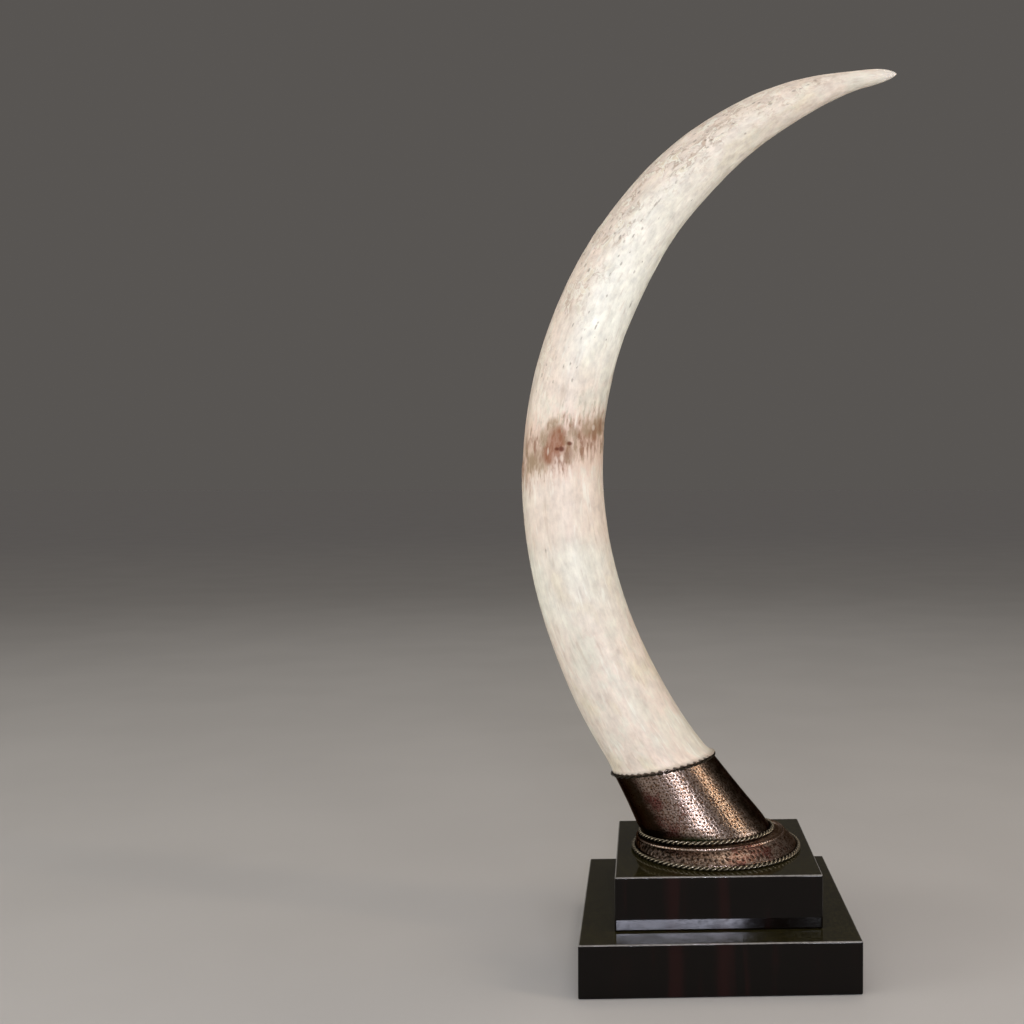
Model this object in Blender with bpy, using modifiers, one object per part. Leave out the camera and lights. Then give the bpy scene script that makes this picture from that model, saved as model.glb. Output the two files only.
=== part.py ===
"""Elephant tusk standing upright on a stepped block, its root held in a metal collar.

Units are metres and +Z is up. The origin is the centre of the lower block's bottom face.
The tusk bows towards -X, its tip ends towards +X, and the viewer stands on the -Y side.
"""
import math
from collections import namedtuple

import bmesh
import bpy
from mathutils import Vector

# Space left between pieces that touch
GAP = 0.0003

# Blocks
LOWER_SIDE = 0.320
LOWER_HEIGHT = 0.061
UPPER_SIDE = 0.240
BLOCKS_TOP = 0.124
BLOCK_EDGE = 0.002

# Tusk centre line: its lean from the vertical, positive towards +X, grows along its length
TUSK_LENGTH = 1.0736
RIM_X = -0.0638
RIM_Z = 0.2305
LEAN_AT_RIM = math.radians(-36.4)
LEAN_GAIN = math.radians(92.4)
LEAN_EXTRA = math.radians(27.7)
TIP_Y = -0.030
WAVE_HEIGHT = 0.0010
WAVE_PERIOD = 0.52
WAVE_CREST = 0.127

# Tusk thickness: half widths in the plane of the curve
BODY_HALF = 0.0429
TAPER_LENGTH = 0.191
BODY_SLOPE = 0.0107
ROOT_FLARE = 0.0010
FLARE_LENGTH = 0.030
TIP_BLUNTNESS = 0.037
TIP_LENGTH = 0.034
DEPTH_RATIO = 0.94

# Lip: the tusk's lower edge turns out over the collar, further on its +X side
LIP_FLARE = 0.0033
LIP_SHIFT = 0.0020
LIP_LENGTH = 0.0030

# Old gum line: a shallow step down round the tusk
LEDGE_AT = 0.392
LEDGE_HALF_STEP = 0.0005
LEDGE_WIDTH = 0.004
LEDGE_REACH = 0.060

# Rim: the plane where the tusk overhangs the collar, up towards +X
RIM_TILT = math.radians(10.8)
RIM_TURN = 0.080

# Sleeve of the collar
SLEEVE_TOP_HALF = 0.0623
SLEEVE_TOP_DEPTH = 0.0532
SLEEVE_FOOT_HALF = 0.0818
SLEEVE_FOOT_DEPTH = 0.0655
SLEEVE_FOOT_X = -0.0088
SLEEVE_FOOT_Z = 0.1465
FOOT_TILT = math.radians(1.7)
SLEEVE_WAIST = 0.0015
SLEEVE_TUCK = 0.0030
TUCK_START = 0.80
SLEEVE_WALL = 0.0022
ROOT_CLEARANCE = 0.0007

# Ropes, as half thicknesses; the rim rope lies a small share of the way down the sleeve
RIM_ROPE = 0.0014
FOOT_ROPE = 0.0025
BASE_ROPE = 0.0028
RIM_ROPE_PLACE = 0.020
ROPE_STAND_OFF = 1.15

# Base ring: outer wall, crowned band, raised bead and the foot rope's seat
RING_X = 0.0030
RING_HALF = 0.0994
RING_WALL_TOP = 0.1295
BAND_CROWN = 0.0012
BAND_SHARES = (0.25, 0.5, 0.75)
BEAD_X = -0.0035
BEAD_Z = 0.1434
BEAD_HALF = 0.0912
BEAD_DEPTH = 0.0765
BEAD_SIZE = 0.0013
SEAT_MARGIN = 0.0008

# Mesh fineness
ROUND_SIDES = 48
TUSK_SIDES = 36
ROPE_PROFILE = 1
CENTRE_STEPS = 200
SMOOTH_ANGLE = math.radians(35)
OUTER_SHARES = (1.0, 0.94, 0.87, 0.8, 0.6, 0.4, 0.2, 0.0)
INNER_SHARES = (0.0, 0.25, 0.5, 0.75, 0.9, 1.0)
LEDGE_STRETCH = 0.012
LIP_STRETCH = 0.009
RIM_STRETCH = 0.060
TIP_STRETCH = 0.080
TIP_RINGS = 8

Section = namedtuple("Section", "x y z tilt half_width half_depth")


def clear_scene():
    for old in list(bpy.data.objects):
        bpy.data.objects.remove(old, do_unlink=True)


def make_collection(name):
    collection = bpy.data.collections.new(name)
    bpy.context.scene.collection.children.link(collection)
    return collection


def make_material(name, colour, roughness, metallic):
    material = bpy.data.materials.new(name)
    material.use_nodes = True
    shader = material.node_tree.nodes["Principled BSDF"]
    shader.inputs["Base Color"].default_value = (*colour, 1.0)
    shader.inputs["Roughness"].default_value = roughness
    shader.inputs["Metallic"].default_value = metallic
    return material


def ivory_material():
    return make_material("ivory", (0.80, 0.72, 0.60), 0.42, 0.0)


def copper_material():
    return make_material("hammered_copper", (0.30, 0.15, 0.10), 0.32, 1.0)


def rope_material():
    return make_material("dark_bronze", (0.16, 0.12, 0.09), 0.38, 1.0)


def block_material():
    return make_material("black_lacquer", (0.012, 0.011, 0.010), 0.12, 0.0)


def mix(first, last, share):
    return first + (last - first) * share


def ease(share):
    share = min(max(share, 0.0), 1.0)
    return share * share * (3.0 - 2.0 * share)


def spread(start, end, count):
    """Evenly spaced numbers after start, up to and including end."""
    return [mix(start, end, step / count) for step in range(1, count + 1)]


def mix_sections(first, last, share):
    return Section(*(mix(one, other, share) for one, other in zip(first, last)))


def grown(section, out):
    """The same oval, larger all round."""
    return section._replace(
        half_width=section.half_width + out, half_depth=section.half_depth + out
    )


def laid_flat(section, z):
    """The same oval, level, at another height."""
    return section._replace(z=z, tilt=0.0)


def section_points(section, sides):
    """Points of an oval whose width runs along the tilted X axis and depth along Y."""
    centre = Vector((section.x, section.y, section.z))
    across = Vector((math.cos(section.tilt), 0.0, math.sin(section.tilt)))
    back = Vector((0.0, 1.0, 0.0))
    points = []
    for side in range(sides):
        angle = 2.0 * math.pi * side / sides
        width = across * section.half_width * math.cos(angle)
        depth = back * section.half_depth * math.sin(angle)
        points.append(centre + width + depth)
    return points


def add_rings(mesh, sections, sides):
    rings = []
    for section in sections:
        rings.append([mesh.verts.new(point) for point in section_points(section, sides)])
    return rings


def skin_rings(mesh, rings, joined_ends):
    """Faces between rings that follow each other up the outside of a solid."""
    sides = len(rings[0])
    pairs = list(zip(rings, rings[1:]))
    if joined_ends:
        pairs.append((rings[-1], rings[0]))
    for lower, upper in pairs:
        for side in range(sides):
            after = (side + 1) % sides
            mesh.faces.new((lower[side], lower[after], upper[after], upper[side]))


def finish_loft(name, mesh, material, collection):
    data = bpy.data.meshes.new(name)
    mesh.to_mesh(data)
    mesh.free()
    data.materials.append(material)
    data.shade_smooth()
    data.set_sharp_from_angle(angle=SMOOTH_ANGLE)
    collection.objects.link(bpy.data.objects.new(name, data))


def make_ring_loft(name, sections, material, collection):
    """A ring-shaped solid whose profile is a closed round of sections."""
    mesh = bmesh.new()
    skin_rings(mesh, add_rings(mesh, sections, ROUND_SIDES), joined_ends=True)
    finish_loft(name, mesh, material, collection)


def make_spike_loft(name, sections, point, material, collection):
    """A solid with a flat foot whose last section closes on one point."""
    mesh = bmesh.new()
    rings = add_rings(mesh, sections, TUSK_SIDES)
    skin_rings(mesh, rings, joined_ends=False)
    mesh.faces.new(list(reversed(rings[0])))
    tip = mesh.verts.new(point)
    for side, vertex in enumerate(rings[-1]):
        mesh.faces.new((vertex, rings[-1][(side + 1) % TUSK_SIDES], tip))
    finish_loft(name, mesh, material, collection)


def tusk_lean(along):
    share = along / TUSK_LENGTH
    return LEAN_AT_RIM + LEAN_GAIN * share + LEAN_EXTRA * share * share


def tusk_centre(along):
    """Point of the centre line at a distance along it, added up from short steps."""
    step = along / CENTRE_STEPS
    x = RIM_X
    z = RIM_Z
    for index in range(CENTRE_STEPS):
        lean = tusk_lean(step * (index + 0.5))
        x += step * math.sin(lean)
        z += step * math.cos(lean)
    lean = tusk_lean(along)
    wave = WAVE_HEIGHT * math.cos(2.0 * math.pi * (along - WAVE_CREST) / WAVE_PERIOD)
    y = TIP_Y * (along / TUSK_LENGTH) ** 2
    return Vector((x + wave * math.cos(lean), y, z - wave * math.sin(lean)))


def ledge(along):
    """Height of the gum line's step: fuller below it, thinner above it, fading both ways."""
    distance = along - LEDGE_AT
    fade = math.exp(-((distance / LEDGE_REACH) ** 2))
    return -LEDGE_HALF_STEP * math.tanh(distance / LEDGE_WIDTH) * fade


def tusk_half(along):
    left = TUSK_LENGTH - along
    body = BODY_HALF * (1.0 - math.exp(-left / TAPER_LENGTH)) + BODY_SLOPE * left
    flare = ROOT_FLARE * math.exp(-along / FLARE_LENGTH)
    blunt = TIP_BLUNTNESS * math.sqrt(left) * math.exp(-((left / TIP_LENGTH) ** 2))
    return body + flare + blunt + ledge(along)


def tusk_section(along):
    """Section that turns from the rim's plane to square with the centre line."""
    x, y, z = tusk_centre(along)
    square = -tusk_lean(along)
    tilt = mix(RIM_TILT, square, ease(along / RIM_TURN))
    half = tusk_half(along)
    lip = math.exp(-along / LIP_LENGTH)
    x += LIP_SHIFT * lip * math.cos(tilt)
    z += LIP_SHIFT * lip * math.sin(tilt)
    half_width = half / math.cos(square - tilt) + LIP_FLARE * lip
    half_depth = half * DEPTH_RATIO + LIP_FLARE * lip
    return Section(x, y, z, tilt, half_width, half_depth)


def tusk_stations():
    """Distances along the tusk, closer together at the lip, the ledge and the tip."""
    ledge_start = LEDGE_AT - LEDGE_STRETCH
    ledge_end = LEDGE_AT + LEDGE_STRETCH
    stations = [0.0]
    stations += spread(0.0, LIP_STRETCH, 5)
    stations += spread(LIP_STRETCH, RIM_STRETCH, 5)
    stations += spread(RIM_STRETCH, ledge_start, 9)
    stations += spread(ledge_start, ledge_end, 6)
    stations += spread(ledge_end, TUSK_LENGTH - TIP_STRETCH, 17)
    for ring in range(1, TIP_RINGS):
        stations.append(TUSK_LENGTH - TIP_STRETCH * (1.0 - ring / TIP_RINGS) ** 2)
    return stations


def rim_section(drop):
    """The sleeve's upper end, a drop below the rim's plane."""
    x = RIM_X + drop * math.sin(RIM_TILT)
    z = RIM_Z - drop * math.cos(RIM_TILT)
    return Section(x, 0.0, z, RIM_TILT, SLEEVE_TOP_HALF, SLEEVE_TOP_DEPTH)


def sleeve_section(share):
    """Outer section of the sleeve, from 0 at the rim to 1 at the foot."""
    foot = Section(
        SLEEVE_FOOT_X, 0.0, SLEEVE_FOOT_Z, FOOT_TILT, SLEEVE_FOOT_HALF, SLEEVE_FOOT_DEPTH
    )
    tuck = SLEEVE_TUCK * max(0.0, (share - TUCK_START) / (1.0 - TUCK_START)) ** 2
    waist = SLEEVE_WAIST * math.sin(math.pi * share)
    return grown(mix_sections(rim_section(GAP), foot, share), -waist - tuck)


def make_tusk(collection):
    """The whole tusk: the root inside the collar, the overhanging edge and the free length."""
    inset = -SLEEVE_WALL - ROOT_CLEARANCE
    root = [grown(sleeve_section(share), inset) for share in reversed(INNER_SHARES[1:])]
    root.insert(0, laid_flat(root[0], BLOCKS_TOP + GAP))
    root.append(grown(rim_section(0.0), inset))
    free = [tusk_section(along) for along in tusk_stations()]
    tip = tusk_centre(TUSK_LENGTH)
    make_spike_loft("tusk", root + free, tip, ivory_material(), collection)


def make_collar_sleeve(material, collection):
    """Slanting tube, wider at its foot, with a straight skirt down to the block."""
    outer = [sleeve_section(share) for share in OUTER_SHARES]
    inner = [grown(sleeve_section(share), -SLEEVE_WALL) for share in INNER_SHARES]
    outer.insert(0, laid_flat(outer[0], BLOCKS_TOP + GAP))
    inner.append(laid_flat(inner[-1], BLOCKS_TOP + GAP))
    make_ring_loft("collar_sleeve", outer + inner, material, collection)


def bead_point(out, down):
    """Section of the raised bead, moved out from its crest and down."""
    crest = Section(BEAD_X, 0.0, BEAD_Z, FOOT_TILT, BEAD_HALF, BEAD_DEPTH)
    return grown(crest, out * BEAD_SIZE)._replace(z=BEAD_Z - down * BEAD_SIZE)


def crowned_band(wall, bead_foot):
    """Sections of the sloping band between the outer wall and the bead."""
    band = []
    for share in BAND_SHARES:
        section = mix_sections(wall, bead_foot, share)
        crown = BAND_CROWN * math.sin(math.pi * share)
        band.append(section._replace(z=section.z + crown))
    return band


def make_base_ring(material, collection):
    """Low ring: outer wall, sloping band, raised bead, groove and a seat for the foot rope."""
    wall = Section(RING_X, 0.0, RING_WALL_TOP, 0.0, RING_HALF, RING_HALF)
    bead = [bead_point(1.2, 2.2), bead_point(1.0, 1.0), bead_point(0.0, 0.0)]
    groove = [bead_point(-1.0, 1.0), bead_point(-1.4, 2.0)]
    seat = grown(sleeve_section(1.0), GAP)._replace(z=SLEEVE_FOOT_Z - FOOT_ROPE - GAP)
    seat_edge = grown(seat, FOOT_ROPE * ROPE_STAND_OFF + SEAT_MARGIN)
    profile = [laid_flat(wall, BLOCKS_TOP + GAP), wall]
    profile += crowned_band(wall, bead[0])
    profile += bead + groove
    profile += [seat_edge, seat, laid_flat(seat, BLOCKS_TOP + GAP)]
    make_ring_loft("base_ring", profile, material, collection)


def make_rope(name, section, half_thickness, material, collection):
    """A closed tube that follows an oval."""
    curve = bpy.data.curves.new(name, "CURVE")
    curve.dimensions = "3D"
    curve.bevel_depth = half_thickness
    curve.bevel_resolution = ROPE_PROFILE
    spline = curve.splines.new("POLY")
    points = section_points(section, ROUND_SIDES)
    spline.points.add(len(points) - 1)
    for target, point in zip(spline.points, points):
        target.co = (*point, 1.0)
    spline.use_cyclic_u = True
    spline.use_smooth = True
    curve.materials.append(material)
    collection.objects.link(bpy.data.objects.new(name, curve))


def around_sleeve(share, half_thickness):
    """Oval of a rope that lies against the sleeve's slope."""
    return grown(sleeve_section(share), half_thickness * ROPE_STAND_OFF + GAP)


def make_ropes(collection):
    metal = rope_material()
    rim = around_sleeve(RIM_ROPE_PLACE, RIM_ROPE)._replace(tilt=RIM_TILT)
    make_rope("rim_rope", rim, RIM_ROPE, metal, collection)
    make_rope("foot_rope", around_sleeve(1.0, FOOT_ROPE), FOOT_ROPE, metal, collection)
    base_half = RING_HALF + BASE_ROPE + GAP
    base_z = BLOCKS_TOP + BASE_ROPE + GAP
    base = Section(RING_X, 0.0, base_z, 0.0, base_half, base_half)
    make_rope("base_ring_rope", base, BASE_ROPE, metal, collection)


def make_block(name, side, bottom, top, material, collection):
    middle = (bottom + top) / 2.0
    bpy.ops.mesh.primitive_cube_add(size=1.0, location=(0.0, 0.0, middle))
    block = bpy.context.object
    block.name = name
    block.data.name = name
    block.scale = (side, side, top - bottom)
    bpy.ops.object.transform_apply(location=False, rotation=False, scale=True)
    bevel = block.modifiers.new("soft_edges", "BEVEL")
    bevel.width = BLOCK_EDGE
    bevel.segments = 2
    block.data.materials.append(material)
    for owner in list(block.users_collection):
        owner.objects.unlink(block)
    collection.objects.link(block)


def make_blocks(collection):
    lacquer = block_material()
    make_block("lower_block", LOWER_SIDE, 0.0, LOWER_HEIGHT, lacquer, collection)
    upper_bottom = LOWER_HEIGHT + GAP
    make_block("upper_block", UPPER_SIDE, upper_bottom, BLOCKS_TOP, lacquer, collection)


def main():
    clear_scene()
    collection = make_collection("elephant_tusk")
    copper = copper_material()
    make_blocks(collection)
    make_base_ring(copper, collection)
    make_collar_sleeve(copper, collection)
    make_ropes(collection)
    make_tusk(collection)


main()
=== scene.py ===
import math
from collections import namedtuple

import bmesh
import bpy
import numpy as np
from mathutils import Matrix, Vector

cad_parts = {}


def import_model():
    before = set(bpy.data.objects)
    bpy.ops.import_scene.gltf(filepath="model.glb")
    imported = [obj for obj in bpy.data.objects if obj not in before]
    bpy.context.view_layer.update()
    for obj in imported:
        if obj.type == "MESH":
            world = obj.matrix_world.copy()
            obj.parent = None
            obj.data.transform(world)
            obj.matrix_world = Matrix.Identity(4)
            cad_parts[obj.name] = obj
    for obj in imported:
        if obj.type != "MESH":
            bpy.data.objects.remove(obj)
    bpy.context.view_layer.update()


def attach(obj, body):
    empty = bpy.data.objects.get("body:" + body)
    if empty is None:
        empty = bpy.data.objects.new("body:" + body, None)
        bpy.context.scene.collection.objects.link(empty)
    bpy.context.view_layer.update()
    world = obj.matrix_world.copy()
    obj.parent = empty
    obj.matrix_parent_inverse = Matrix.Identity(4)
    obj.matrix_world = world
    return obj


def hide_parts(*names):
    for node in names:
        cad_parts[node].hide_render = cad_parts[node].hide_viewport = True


# Looks of a mounted elephant tusk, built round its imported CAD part.
# Units are metres and +Z is up. The viewer stands on the -Y side.

# Camera, fitted to the edges of both blocks; its focal length and centre are in pixels
CAMERA_PLACE = (-0.08567, -1.53427, 0.57738)
CAMERA_PITCH = math.radians(-1.403)
CAMERA_YAW = math.radians(-2.409)
IMAGE_SIDE = 1024
FOCAL_PIXELS = 1242.2
OPTICAL_CENTRE_X = 696.5
SENSOR = 36.0

# The CAD part's own sizes, repeated here because its source can't be read
GAP = 0.0003
LOWER_SIDE = 0.320
LOWER_HEIGHT = 0.061
UPPER_SIDE = 0.240
BLOCKS_TOP = 0.124
BLOCK_EDGE = 0.002
TUSK_LENGTH = 1.0736
RIM_X = -0.0638
RIM_Z = 0.2305
LEAN_AT_RIM = math.radians(-36.4)
LEAN_GAIN = math.radians(92.4)
LEAN_EXTRA = math.radians(27.7)
TIP_Y = -0.030
WAVE_HEIGHT = 0.0010
WAVE_PERIOD = 0.52
WAVE_CREST = 0.127
BODY_HALF = 0.0429
TAPER_LENGTH = 0.191
BODY_SLOPE = 0.0107
ROOT_FLARE = 0.0010
FLARE_LENGTH = 0.030
TIP_BLUNTNESS = 0.037
TIP_LENGTH = 0.034
DEPTH_RATIO = 0.94
LIP_FLARE = 0.0033
LIP_SHIFT = 0.0020
LIP_LENGTH = 0.0030
LEDGE_HALF_STEP = 0.0005
LEDGE_WIDTH = 0.004
LEDGE_REACH = 0.060
RIM_TILT = math.radians(10.8)
RIM_TURN = 0.080
SLEEVE_TOP_HALF = 0.0623
SLEEVE_TOP_DEPTH = 0.0532
SLEEVE_FOOT_HALF = 0.0818
SLEEVE_FOOT_DEPTH = 0.0655
SLEEVE_FOOT_X = -0.0088
SLEEVE_FOOT_Z = 0.1465
FOOT_TILT = math.radians(1.7)
SLEEVE_WAIST = 0.0015
SLEEVE_TUCK = 0.0030
TUCK_START = 0.80
SLEEVE_WALL = 0.0022
ROOT_CLEARANCE = 0.0007
RIM_ROPE = 0.0014
FOOT_ROPE = 0.0025
BASE_ROPE = 0.0028
RIM_ROPE_PLACE = 0.020
ROPE_STAND_OFF = 1.15
RING_X = 0.0030
RING_HALF = 0.0994
RING_WALL_TOP = 0.1295
BAND_CROWN = 0.0012
BEAD_X = -0.0035
BEAD_Z = 0.1434
BEAD_HALF = 0.0912
BEAD_DEPTH = 0.0765
BEAD_SIZE = 0.0013
SEAT_MARGIN = 0.0008

# Turns of each rope's two strands round one another
RIM_ROPE_TURNS = 22
FOOT_ROPE_TURNS = 36
BASE_ROPE_TURNS = 46

# Old gum line: it runs round the tusk on a slant, highest at +X. The middle of its
# stain lies a little below it, and the ledge where the tusk grows thinner lower still.
GUM_LINE = 0.422
GUM_SLANT = 0.022
STAIN_DROP = 0.005
LEDGE_BELOW_GUM = 0.008

# Mesh fineness
TUSK_SIDES = 200
COLLAR_SIDES = 540
SLEEVE_RINGS = 140
BAND_RINGS = 22
BEAD_RINGS = 12
STRAND_SIDES = 10
STEPS_PER_TURN = 16
BLOCK_EDGE_STEPS = 5
CENTRE_STEPS = 200

# An oval section: its centre, how far its +X side is tipped up, and its half sizes
Section = namedtuple("Section", "x y z tilt half_width half_depth")

# A spot of the tusk: distance along it, direction round it, half length and half width
Spot = namedtuple("Spot", "along degrees length width")


def mix(first, last, share):
    return first + (last - first) * share


def ease(share):
    share = min(max(share, 0.0), 1.0)
    return share * share * (3.0 - 2.0 * share)


def spread(start, end, count):
    """Evenly spaced numbers after start, up to and including end."""
    return [mix(start, end, step / count) for step in range(1, count + 1)]


# Sections of the CAD part


def mix_sections(first, last, share):
    return Section(*(mix(one, other, share) for one, other in zip(first, last)))


def grown(section, out):
    return section._replace(
        half_width=section.half_width + out, half_depth=section.half_depth + out
    )


def laid_flat(section, z):
    return section._replace(z=z, tilt=0.0)


def tusk_lean(along):
    share = along / TUSK_LENGTH
    return LEAN_AT_RIM + LEAN_GAIN * share + LEAN_EXTRA * share * share


def tusk_centre(along):
    """Point of the centre line at a distance along it, added up from short steps."""
    step = along / CENTRE_STEPS
    x = RIM_X
    z = RIM_Z
    for index in range(CENTRE_STEPS):
        lean = tusk_lean(step * (index + 0.5))
        x += step * math.sin(lean)
        z += step * math.cos(lean)
    lean = tusk_lean(along)
    wave = WAVE_HEIGHT * math.cos(2.0 * math.pi * (along - WAVE_CREST) / WAVE_PERIOD)
    y = TIP_Y * (along / TUSK_LENGTH) ** 2
    return Vector((x + wave * math.cos(lean), y, z - wave * math.sin(lean)))


def tusk_half(along):
    left = TUSK_LENGTH - along
    body = BODY_HALF * (1.0 - math.exp(-left / TAPER_LENGTH)) + BODY_SLOPE * left
    flare = ROOT_FLARE * math.exp(-along / FLARE_LENGTH)
    blunt = TIP_BLUNTNESS * math.sqrt(left) * math.exp(-((left / TIP_LENGTH) ** 2))
    return body + flare + blunt


def tusk_section(along):
    x, y, z = tusk_centre(along)
    square = -tusk_lean(along)
    tilt = mix(RIM_TILT, square, ease(along / RIM_TURN))
    half = tusk_half(along)
    lip = math.exp(-along / LIP_LENGTH)
    x += LIP_SHIFT * lip * math.cos(tilt)
    z += LIP_SHIFT * lip * math.sin(tilt)
    half_width = half / math.cos(square - tilt) + LIP_FLARE * lip
    half_depth = half * DEPTH_RATIO + LIP_FLARE * lip
    return Section(x, y, z, tilt, half_width, half_depth)


def rim_section(drop):
    x = RIM_X + drop * math.sin(RIM_TILT)
    z = RIM_Z - drop * math.cos(RIM_TILT)
    return Section(x, 0.0, z, RIM_TILT, SLEEVE_TOP_HALF, SLEEVE_TOP_DEPTH)


def sleeve_section(share):
    """Outer section of the sleeve, from 0 at the rim to 1 at the foot."""
    foot = Section(
        SLEEVE_FOOT_X, 0.0, SLEEVE_FOOT_Z, FOOT_TILT, SLEEVE_FOOT_HALF, SLEEVE_FOOT_DEPTH
    )
    tuck = SLEEVE_TUCK * max(0.0, (share - TUCK_START) / (1.0 - TUCK_START)) ** 2
    waist = SLEEVE_WAIST * math.sin(math.pi * share)
    return grown(mix_sections(rim_section(GAP), foot, share), -waist - tuck)


def bead_point(out, down):
    """A section beside the bead's crest, with out and down in bead sizes."""
    crest = Section(BEAD_X, 0.0, BEAD_Z, FOOT_TILT, BEAD_HALF, BEAD_DEPTH)
    return grown(crest, out * BEAD_SIZE)._replace(z=BEAD_Z - down * BEAD_SIZE)


# Mesh making


def turn_angles(count):
    """Angles of evenly spaced points round one full turn."""
    return 2.0 * np.pi * np.arange(count) / count


def ring_angles(rings, sides):
    return np.tile(turn_angles(sides), (rings, 1))


def ramp(value, start, end):
    """0 up to start, 1 from end on, and a straight rise between; end may be the lower."""
    return np.clip((value - start) / (end - start), 0.0, 1.0)


def section_points(sections, sides):
    """Points of all sections, as an array of rings by sides by 3."""
    values = np.array(sections, dtype=float)
    angle = turn_angles(sides)
    centre = values[:, None, :3]
    tilt = values[:, 3, None]
    width = values[:, 4, None] * np.cos(angle)
    depth = values[:, 5, None] * np.sin(angle)
    offset = np.stack([width * np.cos(tilt), depth, width * np.sin(tilt)], axis=-1)
    return centre + offset


def raised(points, height):
    """The grid moved outwards; its rings are closed and follow each other upwards."""
    around = np.roll(points, -1, axis=1) - np.roll(points, 1, axis=1)
    out = np.cross(around, np.gradient(points, axis=0))
    out /= np.maximum(np.linalg.norm(out, axis=-1, keepdims=True), 1e-12)
    return points + out * height[..., None]


def ripple(places, wavelength, waves, seed):
    """Smooth random height over places, as a sum of plane waves of about one wavelength."""
    random = np.random.default_rng(seed)
    total = np.zeros(places.shape[:-1])
    for _ in range(waves):
        direction = random.normal(size=3)
        direction *= 2.0 * np.pi / wavelength / np.linalg.norm(direction)
        # The first of these two draws isn't used, but the marks would move without it
        _, phase = random.uniform(0.0, 2.0 * np.pi, 2)
        total += np.sin(places @ direction + phase)
    return total / math.sqrt(waves / 2.0)


def hammer_marks(around, along, columns, seed):
    """How deep in a dent each point lies, from 0 to 1, in a pattern that closes round a ring."""
    random = np.random.default_rng(seed)
    first_row = int(np.floor(along.min())) - 2
    rows = int(np.ceil(along.max())) - first_row + 3
    middles = random.uniform(0.25, 0.75, (rows, columns, 2))
    sizes = random.uniform(0.05, 0.12, (rows, columns))
    column = np.floor(around).astype(int)
    row = np.floor(along).astype(int)
    depth = np.zeros(around.shape)
    for row_step in (-1, 0, 1):
        for column_step in (-1, 0, 1):
            cell = (row + row_step - first_row, (column + column_step) % columns)
            middle = middles[cell]
            across = column + column_step + middle[..., 0] - around
            down = row + row_step + middle[..., 1] - along
            depth = np.maximum(depth, np.exp(-(across**2 + down**2) / sizes[cell]))
    return depth


def new_object(name, data):
    """An object that holds the data, put into the scene."""
    made = bpy.data.objects.new(name, data)
    bpy.context.scene.collection.objects.link(made)
    return made


def make_mesh(name, points, faces, values=None):
    """A smooth mesh object; values holds arrays with a number or a vector for each point."""
    points = points.reshape(-1, 3)
    data = bpy.data.meshes.new(name)
    data.from_pydata(points.tolist(), [], faces)
    for key, array in (values or {}).items():
        kind, field = ("FLOAT", "value") if array.size == len(points) else ("FLOAT_VECTOR", "vector")
        attribute = data.attributes.new(key, kind, "POINT")
        attribute.data.foreach_set(field, array.astype(np.float32).ravel())
    data.shade_smooth()
    data.validate()
    return new_object(name, data)


def grid_faces(rings, sides, joined_ends):
    """Quads of a grid of closed rings that follow each other upwards."""
    ring = np.arange(rings if joined_ends else rings - 1)[:, None]
    side = np.arange(sides)[None, :]
    after = (side + 1) % sides
    above = (ring + 1) % rings
    corners = [ring * sides + side, ring * sides + after, above * sides + after]
    corners.append(above * sides + side)
    return np.stack(corners, axis=-1).reshape(-1, 4).tolist()


def make_shell(name, points, values):
    """A mesh whose rings run up the outside and down the inside, and close on themselves."""
    faces = grid_faces(len(points), COLLAR_SIDES, joined_ends=True)
    return make_mesh(name, points, faces, values)


def dress(piece, material, slot, *nodes):
    """Gives a piece its material and ties it to the CAD part."""
    piece.data.materials.append(material)
    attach(piece, "root")
    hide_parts(*nodes)


# Node materials


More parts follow.
